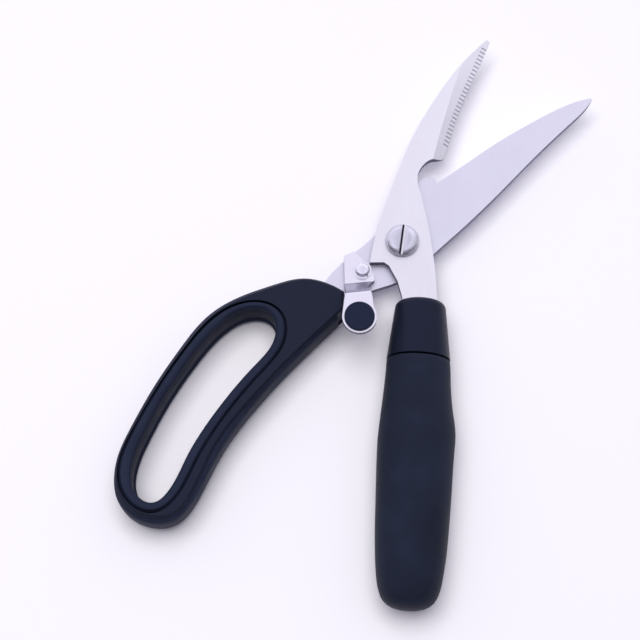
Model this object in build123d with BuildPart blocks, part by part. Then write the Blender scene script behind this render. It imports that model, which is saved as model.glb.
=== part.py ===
from build123d import *
import os
from math import atan2, cos, degrees, hypot, radians, sin

# Kitchen shears with a curved upper blade, a round grip, a closed loop handle and a lock lever.
# They are drawn as they lie open, with the blades towards +Y and the pivot axis along Z.
# Z is zero in the middle of the round grip, and X and Y are zero in the middle of the outline.
# Angles of pieces are measured clockwise from +Y, as seen from above.

# Sizes shared by the whole tool, in millimetres
pivot_x = 16.2
pivot_y = 28.2
blade_thickness = 3.0
overrun = 1.0
running_clearance = 0.05
closing_angle = 28.2

# Upper blade, with its bone notch, lock window and tang
upper_angle = 22.3
upper_reach = 103.0
upper_width = 23.0
upper_land = 0.35
upper_heel_reach = 25.0
neck_insert = 6.0
grip_tang_width = 10.4
grip_tang_length = 62.0
tang_hole_radius = 2.4
tooth_pitch = 1.9
tooth_radius = 0.45
tooth_depth = 0.25
tooth_length = 2.4
# Outline shares ahead of the pivot are of the blade's reach, and those behind it of its heel's reach
upper_spine_shares = (
    (-0.012, 0.999), (-0.132, 0.931), (-0.287, 0.826), (-0.47, 0.635), (-0.574, 0.431), (-0.561, 0.241),
    (-0.514, 0.038), (-0.384, -0.552),
)
upper_window_shares = ((-0.384, -0.552), (-0.154, -0.461), (-0.049, -0.486), (0.195, -0.68), (0.387, -0.919))
upper_neck_shares = ((0.968, -0.729), (0.812, -0.408), (0.625, -0.066), (0.204, 0.145), (-0.041, 0.227))
bone_notch_shares = (
    (-0.041, 0.227), (-0.17, 0.269), (-0.206, 0.294), (-0.193, 0.339), (-0.07, 0.383), (0.065, 0.401),
    (0.103, 0.428),
)
upper_edge_shares = ((0.103, 0.428), (0.087, 0.474), (0.029, 0.643), (0.046, 0.831), (0.052, 0.993))
# Each station of a ground bevel: distance along the blade, start of the bevel, cutting edge
upper_bevel_shares = (
    (0.361, -0.054, 0.117), (0.491, -0.129, 0.076), (0.591, -0.173, 0.041), (0.691, -0.223, 0.03),
    (0.791, -0.248, 0.041), (0.861, -0.273, 0.046), (1.011, -0.283, 0.052),
)
tooth_first_share = 0.47
tooth_last_share = 0.97

# Lower blade, with its heel shoulder and tang
lower_angle = 50.5
lower_reach = 106.4
lower_width = 22.0
lower_land = 0.35
lower_tang_reach = 52.0
lower_edge_shares = (
    (0.021, 1.0), (-0.147, 0.917), (-0.26, 0.818), (-0.356, 0.695), (-0.429, 0.573), (-0.47, 0.441),
    (-0.524, 0.275),
)
lower_heel_shares = ((-0.524, 0.275), (-0.665, 0.274), (-0.755, 0.254), (-0.77, 0.221))
lower_inner_shares = ((-0.77, 0.221), (-0.545, 0.024), (-0.455, -0.057), (-0.429, -0.147), (-0.342, -0.324))
lower_spine_shares = (
    (0.06, 0.998), (0.108, 0.965), (0.171, 0.856), (0.267, 0.637), (0.399, 0.419), (0.494, 0.208),
    (0.535, 0.074), (0.53, -0.116), (0.355, -0.216), (0.255, -0.336),
)
lower_tang_end_shares = ((0.24, -1.0), (-0.238, -1.0))
lower_bevel_shares = (
    (0.28, -0.47, -0.525), (0.36, -0.33, -0.5), (0.444, -0.265, -0.47), (0.574, -0.215, -0.429),
    (0.694, -0.145, -0.356), (0.814, -0.055, -0.26), (0.914, 0.035, -0.147), (1.02, 0.175, 0.035),
)

# Opening stop: a lug pressed up from the lower blade runs in a blind slot of the upper blade
stop_radius = 1.5
stop_orbit = 15.0
stop_height = 1.2
stop_slot_depth = 1.5
stop_slot_clearance = 0.2
stop_angle = 20.0

# Pivot: screw, flanged barrel nut, thrust washer and the hidden opening spring
barrel_radius = 3.75
barrel_flat = 3.1
barrel_bore = 2.45
barrel_gap = 0.1
nut_flange_radius = 7.0
nut_flange_height = 2.2
nut_flange_bevel = 0.8
screw_head_radius = 6.95
screw_head_rim = 0.55
screw_head_height = 2.7
screw_slot_width = 1.5
screw_slot_depth = 1.2
screw_slot_angle = 8.0
screw_shank_radius = 2.4
pivot_washer_radius = 6.1
pivot_washer_height = 0.4
spring_pocket_radius = 9.0
spring_pocket_depth = 1.5
spring_strip = 0.5
spring_strip_height = 1.1
spring_inner_radius = 4.7
spring_turns = 3
spring_pitch = 1.1
spring_tab = 1.6
spring_notch = 0.9
spring_end_gap = 0.2

# Lock lever on its rivet, with a spring washer and a push button
rivet_x = -16.5
rivet_y = -12.7
rivet_shank_radius = 1.9
rivet_head_radius = 3.05
rivet_head_height = 1.4
rivet_tail_radius = 2.8
rivet_tail_height = 1.0
spring_washer_radius = 3.75
spring_washer_height = 0.8
spring_washer_split = 0.6
spring_washer_split_angle = 142.0
lever_angle = 4.1
lever_length = 24.1
lever_width = 13.7
lever_thickness = 2.0
lever_rise = 12.6
lever_bend_skew = 9.5
lever_bend_radius = 1.6
lever_bend_shares = (0.46, -0.237, -0.552, -1.4)
lever_head_shares = ((-0.578, 0.249), (-0.267, 0.353), (0.267, 0.02), (0.341, -0.062), (0.385, -0.158))
lever_neck_shares = ((0.385, -0.158), (0.26, -0.51), (0.33, -0.62), (0.375, -0.76))
lever_neck_turn = 30.0
lever_side_shares = ((-0.474, -0.734), (-0.444, -0.577), (-0.496, -0.27), (-0.578, 0.249))
button_radius = 6.0
button_proud = 1.0
button_stem_radius = 2.5
button_stem_short = 0.2
button_edge = 0.35

# Round grip: a hard core with a collar, and a soft sleeve over its stem
grip_x = 7.05
grip_y = -26.3
grip_angle = 3.6
grip_length = 123.6
grip_radius = 15.6
grip_flatness_share = 0.865
collar_length = 24.3
collar_top_radius = 10.0
collar_end_radius = 12.75
collar_edge = 3.2
grip_seam = 0.5
grip_stem_radius = 8.6
grip_end_wall = 17.0
grip_profile_shares = (
    (0.822, 0.0), (0.869, 0.31), (0.981, 0.42), (0.997, 0.479), (0.965, 0.59), (0.92, 0.717),
    (0.856, 0.861), (0.769, 0.933), (0.57, 0.979), (0.0, 1.0),
)

# Loop handle: a hard core, a soft band round the outside and a soft lining in the finger hole
loop_reach = 114.7
loop_drop = 117.0
loop_thickness = 17.0
loop_lip = 1.5
loop_lip_edge = 0.7
band_depth = 0.7
band_proud = 1.0
liner_wall = 2.0
liner_width = 4.6
liner_lip = 2.6
liner_crown = 0.5
liner_edge = 1.1
seam_width = 0.3
loop_face_shares = (
    (-0.213, -0.198), (-0.279, -0.165), (-0.351, -0.152), (-0.462, -0.179), (-0.56, -0.215),
    (-0.68, -0.288), (-0.767, -0.396), (-0.858, -0.538), (-0.931, -0.676), (-0.969, -0.76),
    (-0.983, -0.85), (-0.966, -0.917), (-0.915, -0.965), (-0.859, -0.983), (-0.802, -0.982),
    (-0.758, -0.955), (-0.728, -0.912), (-0.653, -0.75), (-0.524, -0.578), (-0.391, -0.434),
    (-0.211, -0.262),
)
finger_hole_shares = (
    (-0.449, -0.322), (-0.462, -0.39), (-0.523, -0.466), (-0.612, -0.572), (-0.684, -0.673),
    (-0.747, -0.783), (-0.8, -0.89), (-0.856, -0.935), (-0.912, -0.905), (-0.93, -0.82),
    (-0.893, -0.706), (-0.822, -0.564), (-0.728, -0.419), (-0.635, -0.311), (-0.54, -0.262),
    (-0.476, -0.273),
)
# How far the liner's rim reaches out from each of the hole's points
liner_width_shares = (
    0.96, 0.98, 1.0, 1.0, 1.0, 1.0, 0.96, 0.91, 0.96, 1.15, 1.07, 0.96, 0.96, 0.91, 0.74, 0.78,
)
# The band's rounded side: share of its half height, and share of how far it stands proud
band_profile_shares = (
    (-1.0, -0.3), (-0.86, 0.55), (-0.6, 0.93), (0.0, 1.0), (0.6, 0.93), (0.86, 0.55), (1.0, -0.3),
)

# Levels that several pieces share
upper_top = blade_thickness / 2
mate_level = -blade_thickness / 2
lower_bottom = mate_level - blade_thickness
loop_level = (mate_level + lower_bottom) / 2
lever_level = mate_level + lever_thickness / 2
head_level = upper_top + pivot_washer_height


def turned_plane(x, y, z, clockwise):
    """A level plane placed from the pivot, with its own +Y turned clockwise from the tool's +Y."""
    turn = radians(clockwise)
    place = (pivot_x + x, pivot_y + y, z)
    return Plane(origin=place, x_dir=(cos(turn), -sin(turn), 0), z_dir=(0, 0, 1))


def across_plane(level_plane, along):
    """The upright plane that cuts a piece square to its own +Y, with its local Y pointing up."""
    place = level_plane.from_local_coords((0, along, 0))
    return Plane(origin=place, x_dir=level_plane.x_dir, z_dir=-level_plane.y_dir)


def sized(shares, width, length, length_behind=None):
    """Outline points from their shares of a width and a length, which may differ behind the origin."""
    behind = length if length_behind is None else length_behind
    return [(x * width, y * (length if y > 0 else behind)) for x, y in shares]


def pushed_out(points, distances, closed):
    """Outline points moved along the outline's left-hand normal, each by its own distance."""
    count = len(points)
    moved = []
    for index, (x, y) in enumerate(points):
        before = points[index - 1] if closed or index > 0 else points[index]
        after = points[(index + 1) % count] if closed or index < count - 1 else points[index]
        run_x, run_y = after[0] - before[0], after[1] - before[1]
        run = hypot(run_x, run_y)
        moved.append((x - run_y / run * distances[index], y + run_x / run * distances[index]))
    return moved


def bevel_sections(level_plane, shares, width, reach, land, mating, outer):
    """Cross-sections of the stock that grinding takes off one side of a cutting edge."""
    side = 1 if outer > mating else -1
    sections = []
    for along, start, edge in shares:
        start_x, edge_x = start * width, edge * width
        direction = 1 if edge_x > start_x else -1
        edge_z = mating + side * land
        slope = (edge_z - outer) / (edge_x - start_x)
        far_x = edge_x + direction * overrun
        far_z = edge_z + slope * direction * overrun
        clear_z = outer + side * overrun
        corners = [(start_x, outer), (far_x, far_z), (far_x, clear_z), (start_x, clear_z)]
        sections.append((across_plane(level_plane, along * reach), corners))
    return sections


def bevel_at(shares, along):
    """Where a bevel starts and ends across the blade, between its stations."""
    for before, after in zip(shares, shares[1:]):
        if before[0] <= along <= after[0]:
            part = (along - before[0]) / (after[0] - before[0])
            return [near + (far - near) * part for near, far in zip(before[1:], after[1:])]


pivot_plane = turned_plane(0, 0, 0, 0)
upper_plane = turned_plane(0, 0, 0, upper_angle)
lower_plane = turned_plane(0, 0, 0, lower_angle)
grip_plane = turned_plane(grip_x, grip_y, 0, grip_angle)
lever_plane = turned_plane(rivet_x, rivet_y, 0, lever_angle)

# Upper blade
grip_lean = radians(grip_angle - upper_angle)
insert_x = -neck_insert * sin(grip_lean)
insert_y = -neck_insert * cos(grip_lean)
window = sized(upper_window_shares, upper_width, upper_reach, upper_heel_reach)
neck = sized(upper_neck_shares, upper_width, upper_reach, upper_heel_reach)
window_foot = (window[-1][0] + insert_x, window[-1][1] + insert_y)
neck_foot = (neck[0][0] + insert_x, neck[0][1] + insert_y)
upper_spine = sized(upper_spine_shares, upper_width, upper_reach, upper_heel_reach)
upper_edge = sized(upper_edge_shares, upper_width, upper_reach)
stop_start = 90 - (stop_angle - upper_angle)
tooth_count = round((tooth_last_share - tooth_first_share) * upper_reach / tooth_pitch)

with BuildPart() as upper_blade:
    with BuildSketch(upper_plane.offset(mate_level)):
        with BuildLine():
            Spline(*upper_spine)
            Polyline(*window, window_foot, neck_foot, neck[0])
            Spline(*neck)
            Spline(*sized(bone_notch_shares, upper_width, upper_reach))
            Spline(*upper_edge)
            Line(upper_edge[-1], upper_spine[0])
        make_face()
    extrude(amount=blade_thickness)
    with BuildSketch(grip_plane.offset(mate_level)):
        with Locations((0, (neck_insert - grip_tang_length) / 2 - neck_insert)):
            SlotOverall(grip_tang_length, grip_tang_width, rotation=90)
    extrude(amount=blade_thickness)
    with BuildSketch(grip_plane.offset(mate_level)):
        with Locations((0, -grip_tang_length / 2), (0, -grip_tang_length * 3 / 4)):
            Circle(tang_hole_radius)
    extrude(amount=blade_thickness, mode=Mode.SUBTRACT)
    # The ground bevel along the cutting edge
    for section_plane, corners in bevel_sections(
        upper_plane, upper_bevel_shares, upper_width, upper_reach, upper_land, mate_level, upper_top
    ):
        with BuildSketch(section_plane):
            Polygon(*corners, align=None)
    loft(ruled=True, mode=Mode.SUBTRACT)
    # Fine teeth, ground square to the edge across the foot of the bevel
    for tooth in range(tooth_count):
        along = tooth_first_share + tooth * tooth_pitch / upper_reach
        start, edge = bevel_at(upper_bevel_shares, along)
        fall = Vector((edge - start) * upper_width, 0, upper_land - blade_thickness).normalized()
        rise = Vector(-fall.Z, 0, fall.X)
        foot = Vector(edge * upper_width, along * upper_reach, mate_level + upper_land)
        centre = upper_plane.from_local_coords(foot + rise * (tooth_radius - tooth_depth))
        slope = upper_plane.from_local_coords(foot - fall) - upper_plane.from_local_coords(foot)
        with BuildSketch(Plane(origin=centre, z_dir=slope)):
            Circle(tooth_radius)
    extrude(amount=tooth_length, both=True, mode=Mode.SUBTRACT)
    # Pivot hole, spring pocket and the blind slot of the opening stop
    with BuildSketch(pivot_plane.offset(mate_level)):
        Circle(barrel_radius + running_clearance)
    extrude(amount=blade_thickness, mode=Mode.SUBTRACT)
    with BuildSketch(pivot_plane.offset(mate_level)):
        Circle(spring_pocket_radius)
        with Locations((spring_pocket_radius, 0)):
            Rectangle(2 * spring_notch, spring_strip + 2 * spring_end_gap)
    extrude(amount=spring_pocket_depth, mode=Mode.SUBTRACT)
    with BuildSketch(upper_plane.offset(mate_level)):
        with BuildLine():
            stop_path = CenterArc((0, 0), stop_orbit, stop_start, closing_angle)
        trace(line_width=2 * (stop_radius + stop_slot_clearance))
        with Locations(stop_path @ 0, stop_path @ 1):
            Circle(stop_radius + stop_slot_clearance)
    extrude(amount=stop_slot_depth, mode=Mode.SUBTRACT)
upper_blade.part.label = "upper_blade"

# Lower blade
lower_edge = sized(lower_edge_shares, lower_width, lower_reach)
lower_spine = sized(lower_spine_shares, lower_width, lower_reach)
lower_inner = sized(lower_inner_shares, lower_width, lower_reach)
tang_end = sized(lower_tang_end_shares, lower_width, lower_tang_reach)

with BuildPart() as lower_blade:
    with BuildSketch(lower_plane.offset(lower_bottom)):
        with BuildLine():
            Spline(*lower_edge)
            Spline(*sized(lower_heel_shares, lower_width, lower_reach))
            Spline(*lower_inner)
            Polyline(lower_inner[-1], tang_end[1], tang_end[0], lower_spine[-1])
            Spline(*lower_spine)
            Line(lower_spine[0], lower_edge[0])
        make_face()
    extrude(amount=blade_thickness)
    with BuildSketch(lower_plane.offset(lower_bottom)):
        with Locations((0, tang_hole_radius * 3 - lower_tang_reach)):
            Circle(tang_hole_radius)
    extrude(amount=blade_thickness, mode=Mode.SUBTRACT)
    for section_plane, corners in bevel_sections(
        lower_plane, lower_bevel_shares, lower_width, lower_reach, lower_land, mate_level, lower_bottom
    ):
        with BuildSketch(section_plane):
            Polygon(*corners, align=None)
    loft(ruled=True, mode=Mode.SUBTRACT)
    # The keyed hole holds the barrel nut by its two flats
    with BuildSketch(lower_plane.offset(lower_bottom)):
        Circle(barrel_radius)
        Rectangle(2 * barrel_flat, 2 * barrel_radius, mode=Mode.INTERSECT)
    extrude(amount=blade_thickness, mode=Mode.SUBTRACT)
    with BuildSketch(turned_plane(0, 0, mate_level, stop_angle)):
        with Locations((0, stop_orbit)):
            Circle(stop_radius)
    extrude(amount=stop_height)
    with BuildSketch(pivot_plane.offset(lower_bottom)):
        with Locations((rivet_x, rivet_y)):
            Circle(rivet_shank_radius)
    extrude(amount=blade_thickness, mode=Mode.SUBTRACT)
lower_blade.part.label = "lower_blade"

# Barrel nut of the pivot, entered from below
barrel_top = head_level - barrel_gap
with BuildPart() as pivot_nut:
    with BuildSketch(pivot_plane.offset(lower_bottom - nut_flange_height)):
        Circle(nut_flange_radius)
    extrude(amount=nut_flange_height)
    chamfer(pivot_nut.faces().sort_by(Axis.Z)[0].edges(), nut_flange_bevel)
    with BuildSketch(lower_plane.offset(lower_bottom)):
        Circle(barrel_radius)
        Rectangle(2 * barrel_flat, 2 * barrel_radius, mode=Mode.INTERSECT)
    extrude(amount=blade_thickness)
    with BuildSketch(pivot_plane.offset(mate_level)):
        Circle(barrel_radius)
    extrude(amount=barrel_top - mate_level)
    with BuildSketch(pivot_plane.offset(lower_bottom - nut_flange_height)):
        Circle(barrel_bore)
    extrude(amount=barrel_top - lower_bottom + nut_flange_height, mode=Mode.SUBTRACT)
    # The slot that holds the inner end of the opening spring
    with BuildSketch(pivot_plane.offset(mate_level)):
        with Locations((barrel_radius, 0)):
            Rectangle(2 * spring_tab, spring_strip + running_clearance)
    extrude(amount=spring_pocket_depth, mode=Mode.SUBTRACT)
pivot_nut.part.label = "pivot_nut"

# Domed screw head with one straight slot
with BuildPart() as pivot_screw:
    with BuildSketch(Plane(origin=(pivot_x, pivot_y, head_level), x_dir=(1, 0, 0), z_dir=(0, -1, 0))):
        with BuildLine():
            Polyline((0, 0), (screw_head_radius, 0), (screw_head_radius, screw_head_rim))
            dome = Spline(
                (screw_head_radius, screw_head_rim), (0, screw_head_height),
                tangents=((-screw_head_rim, screw_head_height), (-1, 0)),
            )
            Line((0, screw_head_height), (0, 0))
        make_face()
    revolve(axis=Axis((pivot_x, pivot_y, 0), (0, 0, 1)))
    slot_floor = head_level + screw_head_height - screw_slot_depth
    with BuildSketch(turned_plane(0, 0, slot_floor, screw_slot_angle)):
        Rectangle(screw_slot_width, 2 * screw_head_radius)
    extrude(amount=screw_slot_depth + overrun, mode=Mode.SUBTRACT)
    with BuildSketch(pivot_plane.offset(lower_bottom - nut_flange_height + nut_flange_bevel)):
        Circle(screw_shank_radius)
    extrude(amount=head_level - lower_bottom + nut_flange_height - nut_flange_bevel)
pivot_screw.part.label = "pivot_screw"

# Thrust washer under the screw head
with BuildPart() as pivot_washer:
    with BuildSketch(pivot_plane.offset(upper_top)):
        Circle(pivot_washer_radius)
        Circle(barrel_radius + running_clearance, mode=Mode.SUBTRACT)
    extrude(amount=pivot_washer_height)
pivot_washer.part.label = "pivot_washer"

# Flat spiral spring that opens the shears, built from half turns of growing radius
half_turns = 2 * spring_turns
spiral_end_radius = spring_inner_radius + half_turns * spring_pitch / 2
spring_plane = turned_plane(0, 0, mate_level + (spring_pocket_depth - spring_strip_height) / 2, 0)
with BuildPart() as opening_spring:
    with BuildSketch(spring_plane):
        with BuildLine():
            Line((spring_inner_radius - spring_tab, 0), (spring_inner_radius, 0))
            for half_turn in range(half_turns):
                side = 1 if half_turn % 2 == 0 else -1
                near = side * (spring_inner_radius + half_turn * spring_pitch / 2)
                far = -side * (spring_inner_radius + (half_turn + 1) * spring_pitch / 2)
                centre = (near + far) / 2
                CenterArc((centre, 0), abs(near - far) / 2, 0 if side > 0 else 180, 180)
            Line((spiral_end_radius, 0), (spring_pocket_radius + spring_notch - spring_end_gap, 0))
        trace(line_width=spring_strip)
    extrude(amount=spring_strip_height)
opening_spring.part.label = "opening_spring"

# Lock lever, bent up so that its button swings above both handles
bend_plane = turned_plane(rivet_x, rivet_y, 0, lever_angle - lever_bend_skew)
side_plane = Plane(origin=bend_plane.origin, x_dir=bend_plane.y_dir, z_dir=bend_plane.x_dir)
bends = [share * lever_length for share in lever_bend_shares]
lever_head = sized(lever_head_shares, lever_width, lever_length)
lever_neck = sized(lever_neck_shares, lever_width, lever_length)
lever_round = lever_width / 2
lever_neck.append((
    lever_round * cos(radians(lever_neck_turn)), lever_round * sin(radians(lever_neck_turn)) - lever_length,
))
lever_side = sized(lever_side_shares, lever_width, lever_length)
lever_top = lever_level + lever_thickness / 2 + lever_rise

with BuildPart() as lock_lever:
    with BuildSketch(side_plane):
        with BuildLine():
            FilletPolyline(
                (bends[0], lever_level), (bends[1], lever_level),
                (bends[2], lever_level + lever_rise), (bends[3], lever_level + lever_rise),
                radius=lever_bend_radius,
            )
        trace(line_width=lever_thickness)
    extrude(amount=lever_width, both=True)
    with BuildSketch(lever_plane.offset(mate_level)):
        with BuildLine():
            Polyline(*lever_head)
            Spline(*lever_neck)
            CenterArc((0, -lever_length), lever_round, 180, 180 + lever_neck_turn)
            Line((-lever_round, -lever_length), lever_side[0])
            Polyline(*lever_side)
        make_face()
    extrude(amount=lever_top - mate_level, mode=Mode.INTERSECT)
    with BuildSketch(lever_plane.offset(mate_level)):
        Circle(rivet_shank_radius + running_clearance)
    extrude(amount=lever_thickness, mode=Mode.SUBTRACT)
    with BuildSketch(lever_plane.offset(lever_top)):
        with Locations((0, -lever_length)):
            Circle(button_stem_radius)
    extrude(amount=-lever_thickness, mode=Mode.SUBTRACT)
lock_lever.part.label = "lock_lever"

# Push button pressed into the lever's round end
with BuildPart() as lever_button:
    with BuildSketch(lever_plane.offset(lever_top)):
        with Locations((0, -lever_length)):
            Circle(button_radius)
    extrude(amount=button_proud)
    chamfer(lever_button.faces().sort_by(Axis.Z)[-1].edges(), button_edge)
    with BuildSketch(lever_plane.offset(lever_top)):
        with Locations((0, -lever_length)):
            Circle(button_stem_radius)
    extrude(amount=button_stem_short - lever_thickness)
lever_button.part.label = "lever_button"

# Split spring washer that gives the lever its friction
washer_level = lever_level + lever_thickness / 2
split_length = 2 * (spring_washer_radius - rivet_shank_radius) + overrun
with BuildPart() as lever_spring_washer:
    with BuildSketch(turned_plane(rivet_x, rivet_y, washer_level, spring_washer_split_angle)):
        Circle(spring_washer_radius)
        Circle(rivet_shank_radius + running_clearance, mode=Mode.SUBTRACT)
        with Locations((0, spring_washer_radius)):
            Rectangle(spring_washer_split, split_length, mode=Mode.SUBTRACT)
    extrude(amount=spring_washer_height)
lever_spring_washer.part.label = "lever_spring_washer"

# Shouldered rivet with a domed head and a low tail below the tang
rivet_head_level = washer_level + spring_washer_height
with BuildPart() as lever_rivet:
    rivet_place = (pivot_x + rivet_x, pivot_y + rivet_y, rivet_head_level)
    with BuildSketch(Plane(origin=rivet_place, x_dir=(1, 0, 0), z_dir=(0, -1, 0))):
        with BuildLine():
            Line((0, 0), (rivet_head_radius, 0))
            Spline((rivet_head_radius, 0), (0, rivet_head_height), tangents=((0, 1), (-1, 0)))
            Line((0, rivet_head_height), (0, 0))
        make_face()
    revolve(axis=Axis(rivet_place, (0, 0, 1)))
    with BuildSketch(turned_plane(rivet_x, rivet_y, lower_bottom, 0)):
        Circle(rivet_shank_radius)
    extrude(amount=rivet_head_level - lower_bottom)
    with BuildSketch(turned_plane(rivet_x, rivet_y, lower_bottom, 0)):
        Circle(rivet_tail_radius)
    extrude(amount=-rivet_tail_height)
    chamfer(lever_rivet.faces().sort_by(Axis.Z)[0].edges(), rivet_tail_height / 2)
lever_rivet.part.label = "lever_rivet"

# Hard core of the round grip, turned about the grip's own axis and then flattened a little
grip_stem_length = grip_length - grip_end_wall
grip_axis = Axis(grip_plane.origin, grip_plane.y_dir)
with BuildPart() as grip_core:
    with BuildSketch(grip_plane):
        with BuildLine():
            Polyline(
                (0, 0), (collar_top_radius, 0), (collar_end_radius, -collar_length),
                (grip_stem_radius, -collar_length), (grip_stem_radius, -grip_stem_length),
                (0, -grip_stem_length),
                close=True,
            )
        make_face()
        fillet(vertices().sort_by_distance((collar_top_radius, 0))[0], collar_edge)
    revolve(axis=grip_axis)
    scale(by=(1, 1, grip_flatness_share))
    add(upper_blade.part, mode=Mode.SUBTRACT)
grip_core.part.label = "grip_core"

# Soft sleeve of the round grip
grip_profile = sized(grip_profile_shares, grip_radius, -grip_length)
sleeve_top = (grip_profile[0][0], -collar_length - grip_seam)
with BuildPart() as soft_grip:
    with BuildSketch(grip_plane):
        with BuildLine():
            Spline(sleeve_top, *grip_profile[1:])
            Polyline(grip_profile[-1], (0, -grip_stem_length), (grip_stem_radius, -grip_stem_length),
                     (grip_stem_radius, sleeve_top[1]), sleeve_top)
        make_face()
    revolve(axis=grip_axis)
    scale(by=(1, 1, grip_flatness_share))
soft_grip.part.label = "soft_grip"

# Loop handle outlines
loop_plane = turned_plane(0, 0, loop_level, 0)
half_loop = loop_thickness / 2
band_half = half_loop - loop_lip
web_half = half_loop - liner_lip


def grown(points, distance):
    """A closed outline pushed out evenly."""
    return pushed_out(points, [distance] * len(points), True)


def outside(points, distance):
    """The loop's open outline pushed out evenly, away from the finger hole."""
    return pushed_out(points, [-distance] * len(points), False)


face_line = sized(loop_face_shares, loop_reach, loop_drop)
hole_line = sized(finger_hole_shares, loop_reach, loop_drop)
seam_line = pushed_out(hole_line, [share * liner_width for share in liner_width_shares], True)
hole_wall_line = grown(hole_line, liner_wall)
liner_line = grown(seam_line, -seam_width)
groove_line = outside(face_line, -band_depth)
band_line = outside(face_line, band_proud)

# Hard core of the loop handle, with a web round the finger hole and a groove round the outside
with BuildPart() as loop_core:
    with BuildSketch(loop_plane.offset(-half_loop)):
        with BuildLine():
            Spline(*face_line)
            Line(face_line[-1], face_line[0])
        make_face()
    extrude(amount=loop_thickness)
    chamfer(loop_core.edges().group_by(Axis.Z)[0], loop_lip_edge)
    chamfer(loop_core.edges().group_by(Axis.Z)[-1], loop_lip_edge)
    with BuildSketch(loop_plane.offset(-half_loop)):
        with BuildLine():
            Spline(*seam_line, periodic=True)
        make_face()
    extrude(amount=loop_thickness, mode=Mode.SUBTRACT)
    with BuildSketch(loop_plane.offset(-web_half)):
        with BuildLine():
            Spline(*seam_line, periodic=True)
        make_face()
        with BuildLine():
            Spline(*hole_wall_line, periodic=True)
        make_face(mode=Mode.SUBTRACT)
    extrude(amount=2 * web_half)
    with BuildSketch(loop_plane.offset(-band_half)):
        with BuildLine():
            Spline(*band_line)
            Line(band_line[-1], groove_line[-1])
            Spline(*groove_line)
            Line(groove_line[0], band_line[0])
        make_face()
    extrude(amount=2 * band_half, mode=Mode.SUBTRACT)
    add(lower_blade.part, mode=Mode.SUBTRACT)
loop_core.part.label = "loop_core"

# Soft lining that wraps round the web of the finger hole, with slanted rims on both faces
liner_half = half_loop + liner_crown
liner_levels = (
    (-liner_half, liner_edge), (liner_edge - liner_half, 0),
    (liner_half - liner_edge, 0), (liner_half, liner_edge),
)
with BuildPart() as loop_liner:
    for level, inset in liner_levels:
        with BuildSketch(loop_plane.offset(level)):
            with BuildLine():
                Spline(*grown(liner_line, -inset), periodic=True)
            make_face()
    loft(ruled=True)
    for level, inset in liner_levels:
        with BuildSketch(loop_plane.offset(level)):
            with BuildLine():
                Spline(*grown(hole_line, inset), periodic=True)
            make_face()
    loft(ruled=True, mode=Mode.SUBTRACT)
    add(loop_core.part, mode=Mode.SUBTRACT)
loop_liner.part.label = "loop_liner"

# Soft band that lies in the groove round the outside of the loop, with a rounded side
with BuildPart() as loop_outer_band:
    for level_share, proud_share in band_profile_shares:
        side_line = outside(face_line, proud_share * band_proud)
        with BuildSketch(loop_plane.offset(level_share * band_half)):
            with BuildLine():
                Spline(*side_line)
                Line(side_line[-1], groove_line[-1])
                Spline(*groove_line)
                Line(groove_line[0], side_line[0])
            make_face()
    loft(ruled=True)
    add(lower_blade.part, mode=Mode.SUBTRACT)
loop_outer_band.part.label = "loop_outer_band"

parts = [
    upper_blade, lower_blade, pivot_nut, pivot_screw, pivot_washer, opening_spring, lock_lever,
    lever_button, lever_spring_washer, lever_rivet, grip_core, soft_grip, loop_core, loop_liner, loop_outer_band,
]
os.makedirs("parts", exist_ok=True)
for piece in parts:
    export_step(piece.part, "parts/" + piece.part.label + ".step")
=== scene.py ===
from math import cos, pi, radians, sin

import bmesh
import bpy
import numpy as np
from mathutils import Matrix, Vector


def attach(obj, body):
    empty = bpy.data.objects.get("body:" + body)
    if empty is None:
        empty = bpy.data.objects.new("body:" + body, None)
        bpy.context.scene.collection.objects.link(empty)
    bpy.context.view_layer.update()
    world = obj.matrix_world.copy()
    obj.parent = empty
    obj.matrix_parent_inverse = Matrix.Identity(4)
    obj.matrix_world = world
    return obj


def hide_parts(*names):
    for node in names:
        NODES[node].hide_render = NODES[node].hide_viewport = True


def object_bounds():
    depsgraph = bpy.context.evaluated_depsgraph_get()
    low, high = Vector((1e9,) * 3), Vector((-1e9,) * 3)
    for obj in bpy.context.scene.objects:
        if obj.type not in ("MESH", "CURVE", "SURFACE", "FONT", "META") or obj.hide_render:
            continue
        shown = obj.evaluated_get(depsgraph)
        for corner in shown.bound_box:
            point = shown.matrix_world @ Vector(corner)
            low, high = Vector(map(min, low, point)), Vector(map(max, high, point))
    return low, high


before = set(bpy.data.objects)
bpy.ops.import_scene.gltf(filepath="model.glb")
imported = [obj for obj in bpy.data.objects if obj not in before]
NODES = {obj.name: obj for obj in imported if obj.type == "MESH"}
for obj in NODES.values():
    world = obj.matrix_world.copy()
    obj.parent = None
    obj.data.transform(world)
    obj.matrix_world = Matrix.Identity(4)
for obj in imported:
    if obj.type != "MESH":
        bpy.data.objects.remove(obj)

# %% [markdown]
# # Kitchen shears, open on a pale table
#
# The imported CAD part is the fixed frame: blades, screw, rivet, lever and the hard handle cores are shown as they are,
# with new materials.
# The three soft pieces, which are the grip's sleeve, the loop's outer band and its lining, are modelled here again,
# because a moulded rubber skin has the swells, lips and grooves that a plain solid lacks.
# Lengths are in metres, and MM turns millimetres into them.

MM = 0.001
JOIN_DISTANCE = 0.002 * MM
CAD_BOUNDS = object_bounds()
print("frame", len(NODES), "nodes, from", list(CAD_BOUNDS[0]), "to", list(CAD_BOUNDS[1]))

# %% [markdown]
# ## Node materials
#
# Every finish is a Principled shader, and what the eye reads as "metal" or "rubber" is mostly in its roughness
# and in the fine relief of its surface, so both come from procedural noise at a real size.
# Colours are written as sRGB hex and turned linear by one function.
# One function adds a node with its settings and inputs, and returns it.
# No real edge is perfectly sharp, and the thin highlight along it tells the eye how big the thing is. A Bevel node
# bends the light round the edges of the CAD pieces, and leaves their meshes as they are.


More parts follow.
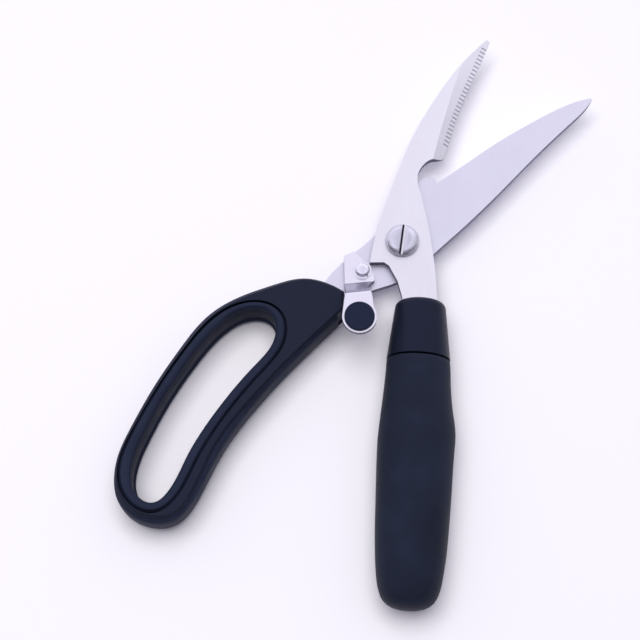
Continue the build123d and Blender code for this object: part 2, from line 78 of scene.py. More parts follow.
# %% Colour and node helpers
EDGE_SAMPLES = 8


def linear(hex_colour, alpha=1.0):
    """sRGB hex to the linear colour that shader sockets expect."""
    channels = [int(hex_colour[i:i + 2], 16) / 255 for i in (0, 2, 4)]
    return [c / 12.92 if c <= 0.04045 else ((c + 0.055) / 1.055) ** 2.4 for c in channels] + [alpha]


def node(tree, kind, inputs=None, **settings):
    """Adds one shader node. Its inputs go by name or number: other nodes' sockets are linked, values are set."""
    made = tree.nodes.new(kind)
    for name, value in settings.items():
        setattr(made, name, value)
    for name, value in (inputs or {}).items():
        if isinstance(value, bpy.types.NodeSocket):
            tree.links.new(value, made.inputs[name])
        else:
            made.inputs[name].default_value = value
    return made


def new_material(name, colour, roughness, metallic=0.0):
    """A material with its Principled shader and its object coordinates."""
    material = bpy.data.materials.new(name)
    material.use_nodes = True
    tree = material.node_tree
    tree.nodes.clear()
    shader = node(tree, "ShaderNodeBsdfPrincipled", {"Roughness": roughness, "Metallic": metallic})
    shader.inputs["Base Color"].default_value = linear(colour)
    output = node(tree, "ShaderNodeOutputMaterial")
    tree.links.new(shader.outputs["BSDF"], output.inputs["Surface"])
    place = node(tree, "ShaderNodeTexCoord").outputs["Object"]
    return material, tree, shader, place


def noise(tree, place, size, detail=3.0, rough=0.55):
    """Noise whose grains are about this size."""
    inputs = {"Vector": place, "Scale": 1.0 / size, "Detail": detail, "Roughness": rough}
    return node(tree, "ShaderNodeTexNoise", inputs).outputs[0]


def spread(tree, value, low, high, start=0.3, end=0.7):
    """Spreads the middle of a noise over a range of values."""
    return node(tree, "ShaderNodeMapRange", {0: value, 1: start, 2: end, 3: low, 4: high}).outputs[0]


def relief(tree, shader, height, depth, strength=1.0, edge_radius=0.0):
    """Raises the surface by a height pattern, through the shader's normal, and can round its edges for the light."""
    inputs = {"Height": height, "Distance": depth, "Strength": strength}
    if edge_radius:
        inputs["Normal"] = node(tree, "ShaderNodeBevel", {"Radius": edge_radius}, samples=EDGE_SAMPLES).outputs[0]
    bump = node(tree, "ShaderNodeBump", inputs)
    tree.links.new(bump.outputs[0], shader.inputs["Normal"])


# %% [markdown]
# ### Stainless steel
#
# The blades are stainless steel, ground with a belt and then blasted to a satin: fine parallel lines in one
# direction, and a soft, broad reflection that makes them look almost as pale as the table.
# The grinding lines are noise that is stretched along the blade. Real lines are some hundredths of a millimetre
# apart, and they are drawn at a third of a millimetre here, so that they can be seen at all.


# %% Ground steel
GRIND_GRAIN = 0.32 * MM
GRIND_STRETCH = 26.0
GRIND_DEPTH = 0.003 * MM
GRIND_RELIEF = 0.6
GROUND_EDGE = 0.15 * MM
CLOUD_SIZE = 14 * MM
UNEVEN_GLOSS = 0.12
DULL_TINT = 0.95


def ground_steel(name, colour, roughness, along, grain=GRIND_GRAIN, stretch=GRIND_STRETCH, depth=GRIND_DEPTH):
    """Stainless steel with grinding lines that run along an angle, clockwise from +Y."""
    material, tree, shader, place = new_material(name, colour, roughness, 1.0)
    turned = node(tree, "ShaderNodeMapping", {
        "Vector": place, "Rotation": (0, 0, radians(along)), "Scale": (1.0, 1.0 / stretch, 1.0),
    }).outputs[0]
    lines = noise(tree, turned, grain, detail=4.0, rough=0.7)
    cloud = noise(tree, place, CLOUD_SIZE)
    both = node(tree, "ShaderNodeMath", {0: lines, 1: cloud}, operation="ADD").outputs[0]
    smooth, rough = roughness * (1 - UNEVEN_GLOSS), roughness * (1 + UNEVEN_GLOSS)
    tree.links.new(spread(tree, both, smooth, rough, start=0.7, end=1.3), shader.inputs["Roughness"])
    dull = [channel * DULL_TINT for channel in linear(colour)[:3]] + [1.0]
    share = spread(tree, both, 0.0, 1.0, start=0.75, end=1.25)
    tint = node(tree, "ShaderNodeMixRGB", {0: share, 1: dull, 2: linear(colour)}).outputs[0]
    tree.links.new(tint, shader.inputs["Base Color"])
    relief(tree, shader, lines, depth, GRIND_RELIEF, GROUND_EDGE)
    return material


UPPER_ANGLE = 22.3
LOWER_ANGLE = 50.5
LEVER_ANGLE = 4.1
ACROSS = 90
upper_satin = ground_steel("satin ground stainless steel", "F9F7FA", 0.42, UPPER_ANGLE)
# The lower blade is the same steel as the upper one; its darker, bluer colour is painted shade.
lower_satin_painted_shade = ground_steel("satin ground stainless steel of the lower blade", "EDECF5", 0.42, LOWER_ANGLE)
bevel_ground = ground_steel(
    "cross ground stainless steel bevel", "FDFDFF", 0.38, UPPER_ANGLE + ACROSS, grain=0.25 * MM, stretch=12.0)
flute_ground = ground_steel(
    "bright ground stainless steel tooth", "F4F3FA", 0.25, UPPER_ANGLE + ACROSS, grain=0.25 * MM, stretch=8.0)
# The blanked walls' dark colour is painted shade, not a colour of the steel.
blanked_edge_painted_shade = ground_steel(
    "blanked stainless steel edge, darkened with painted shade", "6E6A7C", 0.5, 0.0, grain=0.4 * MM, stretch=1.0, depth=0.01 * MM)
stamped_strip = ground_steel(
    "stamped stainless steel strip", "FBF8FF", 0.3, LEVER_ANGLE, grain=0.3 * MM, stretch=20.0)
# The bend's darker colour is painted shade.
bend_painted_shade = ground_steel(
    "stainless steel at the bend, darkened with painted shade", "9A98A8", 0.24, LEVER_ANGLE + ACROSS, grain=0.5 * MM, stretch=9.0)

# %% [markdown]
# The screw and the rivet are turned on a lathe and polished, so they mirror the room in a small, sharp picture.
# Their only relief is the tool's faint rings, which a wave texture draws round each one's own middle.
# The wave's own scale counts twenty rings to a unit, so the pitch is divided by twenty.


# %% Turned steel
PIVOT = Vector((16.2, 28.2, 0)) * MM
RIVET = PIVOT + Vector((-16.5, -12.7, 0)) * MM
TURNING_PITCH = 0.22 * MM
RINGS_PER_SCALE = 20
TURNING_DEPTH = 0.0015 * MM
TURNING_RELIEF = 0.4
SMEAR_SIZE = 2.5 * MM
WIPED, SMEARED = 0.75, 1.3


def turned_steel(name, colour, roughness, middle, edge_radius):
    """Polished stainless steel with faint rings from the lathe."""
    material, tree, shader, place = new_material(name, colour, roughness, 1.0)
    centred = node(tree, "ShaderNodeMapping", {"Vector": place, "Location": -middle}).outputs[0]
    rings = node(tree, "ShaderNodeTexWave", {
        "Vector": centred, "Scale": 1.0 / TURNING_PITCH / RINGS_PER_SCALE, "Distortion": 0.6, "Detail": 2.0,
    }, wave_type="RINGS", rings_direction="Z").outputs[1]
    smears = noise(tree, place, SMEAR_SIZE, detail=4.0)
    wiped, smeared = roughness * WIPED, roughness * SMEARED
    tree.links.new(spread(tree, smears, wiped, smeared), shader.inputs["Roughness"])
    relief(tree, shader, rings, TURNING_DEPTH, TURNING_RELIEF, edge_radius)
    return material


screw_polish = turned_steel(
    "turned and polished stainless steel screw", "DAD9E2", 0.12, PIVOT, edge_radius=2.6 * MM)
rivet_polish = turned_steel(
    "turned and polished stainless steel rivet", "F0EEF8", 0.18, RIVET, edge_radius=1.5 * MM)

# %% [markdown]
# The screw's slot gets painted light: its floor's colour runs from painted shade on its left side, which lies in
# shadow, to a painted highlight on its right side, which catches the light.

# %% Slot
SLOT_ANGLE = radians(8.1)
# The dark slot colour is painted shade and the bright one a painted highlight.
SLOT_PAINTED_SHADE, SLOT_PAINTED_HIGHLIGHT = "2A2834", "FFFDFF"
SHADE_TO, HIGHLIGHT_FROM = -0.05 * MM, 0.3 * MM
slot_painted_light, tree, shader, place = new_material("steel in the screw's slot with painted shade and highlight", SLOT_PAINTED_SHADE, 0.4, 1.0)
centred = node(tree, "ShaderNodeVectorMath", {0: place, 1: PIVOT}, operation="SUBTRACT").outputs[0]
turned = node(tree, "ShaderNodeVectorRotate", {"Vector": centred, "Angle": SLOT_ANGLE}, rotation_type="Z_AXIS")
sideways = node(tree, "ShaderNodeSeparateXYZ", {0: turned.outputs[0]}).outputs[0]
lit = node(tree, "ShaderNodeMapRange", {0: sideways, 1: SHADE_TO, 2: HIGHLIGHT_FROM}).outputs[0]
tint = node(tree, "ShaderNodeMixRGB", {0: lit, 1: linear(SLOT_PAINTED_SHADE), 2: linear(SLOT_PAINTED_HIGHLIGHT)}).outputs[0]
tree.links.new(tint, shader.inputs["Base Color"])

# %% [markdown]
# ### Black plastics and rubber
#
# The handle cores are moulded polypropylene with a satin mould texture, and the skins are thermoplastic rubber,
# which is rougher, slightly greyer and blotchy where hands have polished it.
# A low, bluish specular level keeps the blacks deep under a pale sky of light.


# %% Plastics
SHEEN_TINT = "C9CFF2"
MOULD_RELIEF = 0.5


def moulded(name, colour, roughness, grain, depth, specular, mottle, blotch, polish=12 * MM, edge_radius=0.0):
    """A moulded polymer: fine grain, gloss that is uneven by the mottle, and blotches so many times paler."""
    material, tree, shader, place = new_material(name, colour, roughness)
    fine = noise(tree, place, grain, rough=0.6)
    broad = noise(tree, place, polish, detail=4.0, rough=0.6)
    shader.inputs["Specular IOR Level"].default_value = specular
    shader.inputs["Specular Tint"].default_value = linear(SHEEN_TINT)
    tree.links.new(spread(tree, broad, roughness - mottle, roughness + mottle), shader.inputs["Roughness"])
    worn = [channel * blotch for channel in linear(colour)[:3]] + [1.0]
    tint = node(tree, "ShaderNodeMixRGB", {0: spread(tree, broad, 0.0, 1.0), 1: linear(colour), 2: worn}).outputs[0]
    tree.links.new(tint, shader.inputs["Base Color"])
    relief(tree, shader, fine, depth, MOULD_RELIEF, edge_radius)
    return material


core_plastic = moulded(
    "satin moulded polypropylene", "151A28", 0.42, grain=0.4 * MM, depth=0.006 * MM,
    specular=0.28, mottle=0.05, blotch=1.15, edge_radius=0.6 * MM)
collar_plastic = moulded(
    "satin moulded polypropylene collar", "121726", 0.38, grain=0.4 * MM, depth=0.006 * MM,
    specular=0.26, mottle=0.05, blotch=1.15, edge_radius=0.5 * MM)
sleeve_rubber = moulded(
    "soft touch thermoplastic rubber", "111520", 0.6, grain=0.45 * MM, depth=0.02 * MM,
    specular=0.24, mottle=0.1, blotch=2.6, polish=26 * MM)
loop_rubber = moulded(
    "moulded thermoplastic rubber", "23283A", 0.55, grain=0.45 * MM, depth=0.01 * MM,
    specular=0.08, mottle=0.08, blotch=1.4)
button_plastic = moulded(
    "matt moulded nylon", "1A2034", 0.5, grain=0.25 * MM, depth=0.008 * MM,
    specular=0.22, mottle=0.04, blotch=1.1, edge_radius=0.3 * MM)

# %% [markdown]
# ## CAD pieces
#
# The CAD nodes are given materials and modifiers, and their own meshes stay as they are.
# The button alone also gets a real rounded edge, because it stands proud of everything round it. Its imported mesh is
# loose triangles, so a Weld modifier joins them before a small Bevel rounds the edge.


# %% Materials on the CAD nodes
BUTTON_EDGE = 0.2 * MM
BEVEL_SEGMENTS = 2
SHARP_ANGLE = radians(30)


def dress(name, materials, radius=0.0):
    """Gives a CAD node its materials, and rounds its edges if a radius is given."""
    piece = NODES[name]
    piece.data.materials.clear()
    for material in materials:
        piece.data.materials.append(material)
    if radius:
        weld = piece.modifiers.new("joined triangles", "WELD")
        weld.merge_threshold = JOIN_DISTANCE
        bevel = piece.modifiers.new("softened edges", "BEVEL")
        bevel.width = radius
        bevel.segments = BEVEL_SEGMENTS
        bevel.limit_method = "ANGLE"
        bevel.angle_limit = SHARP_ANGLE
        bevel.use_clamp_overlap = True
        bevel.harden_normals = True
    return piece


for name in ("pivot_nut", "pivot_washer", "opening_spring", "lever_spring_washer"):
    dress(name, [stamped_strip])
dress("lever_rivet", [rivet_polish])
dress("lever_button", [button_plastic], BUTTON_EDGE)
dress("grip_core", [collar_plastic])
dress("loop_core", [core_plastic])
print("dressed the fittings, the button and the two handle cores")

# %% [markdown]
# One blade has several finishes: satin faces, a bevel that was ground on a wheel across its edge, bright flutes
# where the teeth were cut, and walls where the press blanked it out of the sheet, darkened with painted shade.
# They are told apart by the way each face points, and each face gets the number of its material.
# The lever is told apart in the same way: its flat strip, its blanked walls, and its bend, darkened with painted shade.


# %% Finishes by the way a face points
FACE_UP = 0.97
WALL_UP = 0.3
SHADED_BEND_UP = 0.1
FLUTE_TILT = 0.13


def finish_faces(name, materials, angle, wall_up=WALL_UP):
    """Face, wall, bevel and flute materials, in this order, by each polygon's normal."""
    piece = dress(name, materials)
    along = Vector((sin(radians(angle)), cos(radians(angle)), 0))
    counts = [0, 0, 0, 0]
    for polygon in piece.data.polygons:
        up = abs(polygon.normal.z)
        if up > FACE_UP:
            kind = 0
        elif up < wall_up:
            kind = 1
        elif abs(polygon.normal.dot(along)) > FLUTE_TILT:
            kind = 3
        else:
            kind = 2
        polygon.material_index = kind
        counts[kind] += 1
    print(name, "faces, walls, bevels and flutes:", counts)


finish_faces("upper_blade", [upper_satin, blanked_edge_painted_shade, bevel_ground, flute_ground], UPPER_ANGLE)
finish_faces("lower_blade", [lower_satin_painted_shade, blanked_edge_painted_shade, bevel_ground, bevel_ground], LOWER_ANGLE)
finish_faces("lock_lever", [stamped_strip, blanked_edge_painted_shade, bend_painted_shade, bend_painted_shade], LEVER_ANGLE, SHADED_BEND_UP)

# %% [markdown]
# In the screw, the slot's floor and the wall that faces right get the painted shade and highlight. They are found by
# where they lie across the slot and by the way they point.

# %% Faces of the slot
SLOT_HALF = 0.95 * MM
SLOT_LOWEST, SLOT_FLOOR_HIGHEST = 3.2 * MM, 3.6 * MM
SIDEWAYS, UPWARDS = 0.9, 0.99
screw = dress("pivot_screw", [screw_polish, slot_painted_light])
across = Vector((cos(SLOT_ANGLE), -sin(SLOT_ANGLE), 0))
shaded = 0
for polygon in screw.data.polygons:
    height = polygon.center.z
    inside = abs((polygon.center - PIVOT).dot(across)) < SLOT_HALF and height > SLOT_LOWEST
    wall = polygon.normal.dot(across) > SIDEWAYS
    floor = polygon.normal.z > UPWARDS and height < SLOT_FLOOR_HIGHEST
    polygon.material_index = int(inside and (wall or floor))
    shaded += polygon.material_index
print("pivot_screw has", shaded, "shaded faces in its slot")

# %% [markdown]
# ## Rubber skins
#
# The new pieces follow the CAD: a section through a node gives the outline that its skin has to keep to.
# A bmesh of the node is cut by a plane, and the cut's edges are walked into closed lines.


# %% Sections and smooth lines
def section(name, level):
    """The closed outlines of a CAD node at one level, longest first, as arrays of X and Y."""
    cut = bmesh.new()
    cut.from_mesh(NODES[name].data)
    bmesh.ops.remove_doubles(cut, verts=cut.verts, dist=JOIN_DISTANCE)
    everything = cut.verts[:] + cut.edges[:] + cut.faces[:]
    made = bmesh.ops.bisect_plane(cut, geom=everything, plane_co=(0, 0, level), plane_no=(0, 0, 1))["geom_cut"]
    edges = {piece for piece in made if isinstance(piece, bmesh.types.BMEdge)}
    outlines = []
    while edges:
        edge = edges.pop()
        first, vertex = edge.verts
        walk = [first.co.xy[:]]
        while vertex != first:
            walk.append(vertex.co.xy[:])
            following = [other for other in vertex.link_edges if other in edges]
            if not following:
                break
            edge = following[0]
            edges.remove(edge)
            vertex = edge.other_vert(vertex)
        outlines.append(np.array(walk))
    cut.free()
    return sorted(outlines, key=lambda outline: -np.ptp(outline, axis=0).sum())


def evenly(points, count, closed):
    """Points at even steps along a line."""
    points = np.vstack([points, points[:1]]) if closed else np.asarray(points)
    lengths = np.concatenate([[0], np.cumsum(np.linalg.norm(np.diff(points, axis=0), axis=1))])
    steps = np.linspace(0, lengths[-1], count + 1 if closed else count)
    line = np.column_stack([np.interp(steps, lengths, column) for column in points.T])
    return line[:-1] if closed else line


def relaxed(points, rounds, closed):
    """The line with the facets of the CAD's curve smoothed out."""
    for _ in range(rounds):
        before, after = np.roll(points, 1, axis=0), np.roll(points, -1, axis=0)
        eased = points / 2 + (before + after) / 4
        if not closed:
            eased[0], eased[-1] = points[0], points[-1]
        points = eased
    return points


def outward(points, closed):
    """The unit vectors that point away from a counterclockwise line's inside."""
    if closed:
        run = np.roll(points, -1, axis=0) - np.roll(points, 1, axis=0)
    else:
        run = np.gradient(points, axis=0)
    run /= np.linalg.norm(run, axis=1)[:, None]
    return np.column_stack([run[:, 1], -run[:, 0]])


def counterclockwise(points):
    """The closed line in counterclockwise order, from its upper right end, so that every run starts alike."""
    x, y = points.T
    area = np.sum(x * np.roll(y, -1) - y * np.roll(x, -1))
    points = points if area > 0 else points[::-1]
    return np.roll(points, -int(np.argmax(points.sum(axis=1))), axis=0)


def eased_between(table, at):
    """Values on a smooth curve through the rows of a given table."""
    stations, values = np.array(table).T
    slopes = np.gradient(values, stations)
    at = np.clip(at, stations[0], stations[-1])
    row = np.clip(np.searchsorted(stations, at) - 1, 0, len(stations) - 2)
    width = stations[row + 1] - stations[row]
    t = (at - stations[row]) / width
    start = (1 + 2 * t) * (1 - t) ** 2 * values[row] + t * (1 - t) ** 2 * width * slopes[row]
    end = t * t * (3 - 2 * t) * values[row + 1] + t * t * (t - 1) * width * slopes[row + 1]
    return start + end


# %% [markdown]
# A skin is a stack of lines. The first is a chain of new vertices and edges, and each of the others is extruded
# from the line before it and then moved to its own place, so that the faces can't cross.


# %% Skins
SEAM_DISTANCE = 0.001 * MM


def chain(mesh, points, closed):
    """A line of edges through points, and its edges."""
    vertices = [mesh.verts.new(point) for point in points]
    pairs = list(zip(vertices, vertices[1:]))
    if closed:
        pairs.append((vertices[-1], vertices[0]))
    return [mesh.edges.new(pair) for pair in pairs]


def stacked(mesh, lines, closed):
    """Extrudes a chain from line to line, and returns the edges of the first and of the last one."""
    first_edges = chain(mesh, lines[0], closed)
    edges = first_edges
    vertices = [edge.verts[0] for edge in edges] + ([] if closed else [edges[-1].verts[1]])
    for line in lines[1:]:
        made = bmesh.ops.extrude_edge_only(mesh, edges=edges)["geom"]
        fresh = {piece for piece in made if isinstance(piece, bmesh.types.BMVert)}
        followers = []
        for vertex, point in zip(vertices, line):
            rungs = [edge.other_vert(vertex) for edge in vertex.link_edges]
            follower = next(other for other in rungs if other in fresh)
            follower.co = point
            followers.append(follower)
        vertices = followers
        edges = [piece for piece in made if isinstance(piece, bmesh.types.BMEdge)]
        edges = [edge for edge in edges if edge.verts[0] in fresh and edge.verts[1] in fresh]
    return first_edges, edges


def skin_object(mesh, name, material, body, slot, *replaced):
    """Turns a bmesh's normals outwards, makes it a smooth object, and lets it stand for its CAD nodes."""
    bmesh.ops.remove_doubles(mesh, verts=mesh.verts, dist=SEAM_DISTANCE)
    bmesh.ops.recalc_face_normals(mesh, faces=mesh.faces)
    for face in mesh.faces:
        face.smooth = True
    open_edges = sum(1 for edge in mesh.edges if len(edge.link_faces) != 2)
    data = bpy.data.meshes.new(name)
    mesh.to_mesh(data)
    mesh.free()
    data.materials.append(material)
    piece = bpy.data.objects.new(name, data)
    bpy.context.scene.collection.objects.link(piece)
    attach(piece, body)
    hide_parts(*replaced)
    print(name, len(data.polygons), "faces,", open_edges, "open edges")


# %% [markdown]
# ### The finger hole's lining
#
# The lining is moulded over the web of the loop. From above it is a rounded rim about four millimetres wide, with an
# open, dark seam outside it. Inside the hole its rim overhangs a shallow undercut, the wall swells, and a second lip
# stands out near the lower face.
# Each row below is a place on that cross-section: the share of the way from the hole to the seam, how far it is
# pushed away from the hole, and its level above the loop's middle, the last two in millimetres.

# %% Lining
LOOP_MIDDLE = -3.0 * MM
LINE_COUNT = 260
DENSER = 6
LINING_SECTION = 4.0 * MM
HOLE_ROUNDS, RIM_ROUNDS, SEAM_ROUNDS = 6, 60, 4
rim_outline, hole_outline = section("loop_liner", LINING_SECTION)[:2]
hole_line = relaxed(evenly(counterclockwise(hole_outline), LINE_COUNT, True), HOLE_ROUNDS, True)
rim_dense = relaxed(evenly(counterclockwise(rim_outline), LINE_COUNT * DENSER, True), RIM_ROUNDS, True)
hole_away = outward(hole_line, True)
nearest = [np.argmin(np.linalg.norm(rim_dense - point, axis=1)) for point in hole_line]
rim_line = relaxed(rim_dense[nearest], SEAM_ROUNDS, True)
print("hole", np.ptp(hole_line, axis=0) / MM, "rim", np.ptp(rim_line, axis=0) / MM)

LINING_ROWS = (
    (0.0, 0.3, -3.0), (0.0, 0.15, -0.5), (0.0, 0.3, 1.6), (0.0, 0.62, 3.6), (0.0, 1.0, 4.9), (0.0, 0.95, 5.5),
    (0.0, 0.55, 5.85), (0.0, 0.12, 6.3), (0.0, 0.0, 6.9), (0.0, 0.08, 7.5), (0.0, 0.35, 8.0), (0.0, 0.8, 8.3),
    (0.25, 0.0, 8.6), (0.45, 0.0, 8.85), (0.62, 0.0, 8.9), (0.74, 0.0, 8.8), (0.82, 0.0, 8.5), (0.86, 0.0, 8.0),
    (0.88, 0.0, 7.3), (1.0, 0.0, 6.9), (1.0, 0.0, 6.1),
    (0.5, 0.0, 6.0), (0.5, 0.0, -6.0),
    (1.0, 0.0, -6.1), (1.0, 0.0, -7.3), (0.985, 0.0, -8.1), (0.95, 0.0, -8.55), (0.88, 0.0, -8.75),
    (0.6, 0.0, -8.9), (0.35, 0.0, -8.6), (0.0, 0.8, -8.4), (0.0, 0.2, -8.0), (0.0, -0.2, -7.2),
    (0.0, -0.25, -6.2), (0.0, -0.1, -5.5), (0.0, 0.45, -5.1), (0.0, 0.5, -4.7),
)
lining = bmesh.new()
lines = []
for share, push, level in LINING_ROWS:
    flat = hole_line + (rim_line - hole_line) * share + hole_away * push * MM
    height = LOOP_MIDDLE + level * MM
    lines.append([(x, y, height) for x, y in flat])
stacked(lining, lines + lines[:1], True)
skin_object(lining, "finger_hole_lining", loop_rubber, "lower_arm", "soft_rubber", "loop_liner")

# %% [markdown]
# ### The loop's outer band
#
# The band is a rounded rubber tread in the groove round the outside of the loop. It bulges most where the
# fingers curl round the lower right of the loop, so its rows are pushed out by a swell that changes along the way.
# BAND_SWELL gives the share of the way round and the swell in millimetres. BAND_ROWS gives the level as a share of
# the band's half height, and the share of the swell there.

# %% Band
BAND_HALF = 6.95 * MM
BAND_DEPTH = 0.6 * MM
BAND_SECTION = 4.4 * MM
BAND_END_GAP = 0.12 * MM
BAND_ROUNDS = 8
core_outline = counterclockwise(section("loop_core", BAND_SECTION)[0])
run = core_outline[core_outline[:, 0] < core_outline[:, 0].max() - BAND_END_GAP]
band_line = relaxed(evenly(run, LINE_COUNT, False), BAND_ROUNDS, False)
band_away = outward(band_line, False)
print("band from", band_line[0] / MM, "to", band_line[-1] / MM)

BAND_SWELL = (
    (0.0, 0.9), (0.05, 1.3), (0.12, 1.5), (0.3, 1.5), (0.4, 1.35), (0.46, 1.05), (0.5, 1.05), (0.53, 1.5),
    (0.57, 2.2), (0.6, 2.2), (0.64, 1.7), (0.68, 2.0), (0.72, 2.4), (0.76, 2.4), (0.81, 1.9), (0.86, 1.5),
    (0.95, 1.3), (1.0, 1.0),
)
BAND_ROWS = (
    (1.0, -0.35), (0.985, 0.12), (0.94, 0.42), (0.86, 0.68), (0.74, 0.85), (0.55, 0.96), (0.3, 1.0), (0.0, 1.0),
    (-0.3, 1.0), (-0.55, 0.96), (-0.74, 0.85), (-0.86, 0.68), (-0.94, 0.42), (-0.985, 0.12), (-1.0, -0.35),
)
swell = eased_between(BAND_SWELL, np.linspace(0, 1, LINE_COUNT)) * MM
band = bmesh.new()
inner = band_line - band_away * BAND_DEPTH
lines = [[(x, y, LOOP_MIDDLE + BAND_HALF) for x, y in inner]]
for share, proud in BAND_ROWS:
    flat = band_line + band_away * (swell * proud)[:, None]
    height = LOOP_MIDDLE + share * BAND_HALF
    lines.append([(x, y, height) for x, y in flat])
lines.append([(x, y, LOOP_MIDDLE - BAND_HALF) for x, y in inner])
stacked(band, lines + lines[:1], False)
bmesh.ops.remove_doubles(band, verts=band.verts, dist=SEAM_DISTANCE)
end_edges = [edge for edge in band.edges if len(edge.link_faces) == 1]
bmesh.ops.holes_fill(band, edges=end_edges, sides=0)
skin_object(band, "loop_band", loop_rubber, "lower_arm", "soft_rubber", "loop_outer_band")

# %% [markdown]
# ### The grip's sleeve
#
# The sleeve is a long rubber bulb over the grip's core. It isn't quite round or even: the right side swells sharply
# and then runs straight, and the left side rises slowly.
# It is a stack of flattened circles along the grip, each with its own reach to the left and to the right. It starts
# at the bottom of its bore, comes out at the collar, turns over a small lip and runs down to the rounded end.
# All numbers in the tables are millimetres: the way along the grip, and then the reach.

# %% Sleeve
GRIP_ANGLE = radians(3.6)
GRIP_FLATNESS = 0.865
grip_top = PIVOT + Vector((7.05, -26.3, 0)) * MM
grip_frame = Matrix.Translation(grip_top) @ Matrix.Rotation(-GRIP_ANGLE, 4, "Z")
SLEEVE_TOP = 24.8
BORE_END = 104.0
BORE_RADIUS = 8.8
SLEEVE_POINTS = 96
SLEEVE_RINGS = 60
SLEEVE_LIP = ((0.0, 11.9), (0.12, 12.35))
LIP_END = 0.45
SLEEVE_SIDES = (
    (24.8, 12.65, 12.65), (28.0, 12.75, 12.95), (35.5, 13.1, 13.35), (42.0, 13.6, 14.05), (46.0, 13.9, 14.6),
    (50.0, 14.2, 15.3), (53.5, 14.45, 15.72), (57.0, 14.65, 15.8), (61.0, 14.72, 15.6), (66.0, 14.7, 15.35),
    (75.0, 14.5, 15.1), (85.0, 14.25, 14.75), (95.0, 13.95, 14.3), (102.0, 13.55, 13.85), (108.0, 13.05, 13.15),
    (112.0, 12.55, 12.6), (115.5, 11.85, 11.9), (118.5, 10.85, 10.85),
)
SLEEVE_END = ((120.2, 9.8), (121.6, 8.3), (122.7, 6.2), (123.35, 3.6), (123.55, 1.6))


def grip_circle(along, left, right):
    """The points of a flattened circle round the grip's axis."""
    middle = (right - left) / 2
    half = (right + left) / 2
    turns = np.linspace(0, 2 * pi, SLEEVE_POINTS, endpoint=False)
    flat = [((middle + half * cos(turn)) * MM, -along * MM, half * GRIP_FLATNESS * sin(turn) * MM) for turn in turns]
    return [grip_frame @ Vector(point) for point in flat]


sleeve = bmesh.new()
lefts = [(along, left) for along, left, right in SLEEVE_SIDES]
rights = [(along, right) for along, left, right in SLEEVE_SIDES]
lines = [grip_circle(along, BORE_RADIUS, BORE_RADIUS) for along in (BORE_END, SLEEVE_TOP)]
lines += [grip_circle(SLEEVE_TOP + step, half, half) for step, half in SLEEVE_LIP]
for along in np.linspace(SLEEVE_TOP + LIP_END, SLEEVE_SIDES[-1][0], SLEEVE_RINGS):
    left, right = eased_between(lefts, along), eased_between(rights, along)
    lines.append(grip_circle(along, float(left), float(right)))
lines += [grip_circle(along, half, half) for along, half in SLEEVE_END]
for edges in stacked(sleeve, lines, True):
    end_faces = bmesh.ops.edgenet_fill(sleeve, edges=edges)["faces"]
    bmesh.ops.poke(sleeve, faces=end_faces)
skin_object(sleeve, "grip_sleeve", sleeve_rubber, "upper_arm", "soft_rubber", "soft_grip")

# %% [markdown]
# ## Table, light and camera
#
# The shears lie on a plain pale table under soft overhead light, a little from the upper left.

# %% Table
TABLE_HALF = 1.5
table_mesh = bmesh.new()
bmesh.ops.create_grid(table_mesh, x_segments=1, y_segments=1, size=TABLE_HALF)
bmesh.ops.translate(table_mesh, verts=table_mesh.verts, vec=(0, 0, CAD_BOUNDS[0].z))
table_data = bpy.data.meshes.new("table")
table_mesh.to_mesh(table_data)
table_mesh.free()
table = bpy.data.objects.new("table", table_data)
bpy.context.scene.collection.objects.link(table)
table_paint, tree, shader, place = new_material("pale matt table top", "F7F6FF", 0.9)
shader.inputs["Specular IOR Level"].default_value = 0.1
table.data.materials.append(table_paint)

# %% [markdown]
# The world is a pale room. Its diffuse light is held back, so that the overhead lamp can draw soft shadows, while
# metal sees it brighter and a little patchy, as a real room is, through the Light Path node.
# Towards the front it falls off, as a room does behind whoever is looking, and that is the dark band in the screw.

# %% Room
ROOM_COLOUR = "F1EFFF"
ROOM_GLOW = 0.62
ROOM_SEEN = 1.21
ROOM_BACKDROP = 0.95
PATCH_SIZE = 0.55
DARKER_PATCH, PALER_PATCH = -0.35, 0.1
FRONT_DARK, FRONT_LIT, FRONT_SHADE = 0.1, 1.0, 0.25
world = bpy.data.worlds.new("pale room")
world.use_nodes = True
tree = world.node_tree
tree.nodes.clear()
direction = node(tree, "ShaderNodeTexCoord").outputs["Generated"]
axes = node(tree, "ShaderNodeSeparateXYZ", {0: direction}).outputs
front = node(tree, "ShaderNodeMath", {0: axes[1], 1: axes[2]}, operation="ADD").outputs[0]
shade = node(tree, "ShaderNodeMapRange", {
    0: front, 1: FRONT_DARK, 2: FRONT_LIT, 3: FRONT_SHADE, 4: 1.0,
}, interpolation_type="SMOOTHSTEP").outputs[0]
paths = node(tree, "ShaderNodeLightPath").outputs
mirrored = node(tree, "ShaderNodeMath", {
    0: paths["Is Glossy Ray"], 1: paths["Is Transmission Ray"],
}, operation="MAXIMUM").outputs[0]
patches = noise(tree, direction, PATCH_SIZE, detail=2.0, rough=0.5)
uneven = spread(tree, patches, ROOM_SEEN + DARKER_PATCH, ROOM_SEEN + PALER_PATCH, start=0.35, end=0.65)
room = node(tree, "ShaderNodeMapRange", {0: mirrored, 3: ROOM_GLOW, 4: uneven}).outputs[0]
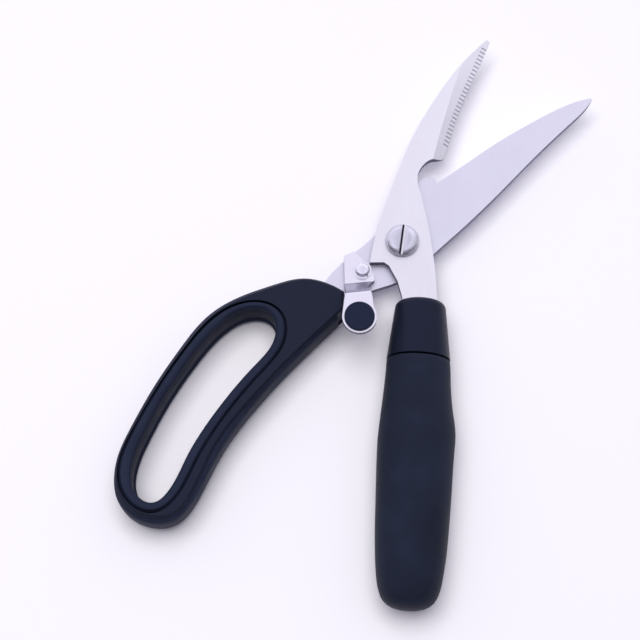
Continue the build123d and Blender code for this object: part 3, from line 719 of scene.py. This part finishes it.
strength = node(tree, "ShaderNodeMath", {0: shade, 1: room}, operation="MULTIPLY").outputs[0]
for_camera = node(tree, "ShaderNodeMapRange", {0: paths["Is Camera Ray"], 3: strength, 4: ROOM_BACKDROP}).outputs[0]
background = node(tree, "ShaderNodeBackground", {"Color": linear(ROOM_COLOUR), "Strength": for_camera})
output = node(tree, "ShaderNodeOutputWorld")
tree.links.new(background.outputs[0], output.inputs["Surface"])
bpy.context.scene.world = world

# %% [markdown]
# One large lamp hangs nearly overhead and points at the middle of the shears. Metal doesn't mirror it, because its
# picture would burn out the blades, and they mirror the room instead.

# %% Lamp
LAMP_PLACE = Vector((-0.14, 0.12, 1.4))
LAMP_SIZE = 1.1
LAMP_WATTS = 16.4
lamp_data = bpy.data.lights.new("overhead softbox", "AREA")
lamp_data.size = LAMP_SIZE
lamp_data.energy = LAMP_WATTS
lamp_data.color = linear("FFFCF6")[:3]
lamp = bpy.data.objects.new("overhead softbox", lamp_data)
lamp.location = LAMP_PLACE
lamp.rotation_euler = (-LAMP_PLACE).to_track_quat("-Z", "Y").to_euler()
lamp.visible_glossy = False
bpy.context.scene.collection.objects.link(lamp)

# %% [markdown]
# The camera's place was worked out from the photograph: it looks down at 71 degrees from 0.56 m, and its lens
# brings the same number of millimetres to each pixel.

# %% Camera
CAMERA_DISTANCE = 560 * MM
CAMERA_ELEVATION = radians(71)
CAMERA_TARGET = Vector((-17.6, -5.05, -1.5)) * MM
PIXEL = 0.405 * MM
PHOTO_WIDTH = 640
camera_data = bpy.data.cameras.new("camera")
camera_data.sensor_width = 36
camera_data.lens = CAMERA_DISTANCE / (PIXEL * PHOTO_WIDTH) * camera_data.sensor_width
camera = bpy.data.objects.new("camera", camera_data)
camera.location = CAMERA_TARGET + CAMERA_DISTANCE * Vector((0, -cos(CAMERA_ELEVATION), sin(CAMERA_ELEVATION)))
camera.rotation_euler = (pi / 2 - CAMERA_ELEVATION, 0, 0)
bpy.context.scene.collection.objects.link(camera)
bpy.context.scene.camera = camera
bpy.context.scene.view_settings.view_transform = "Standard"
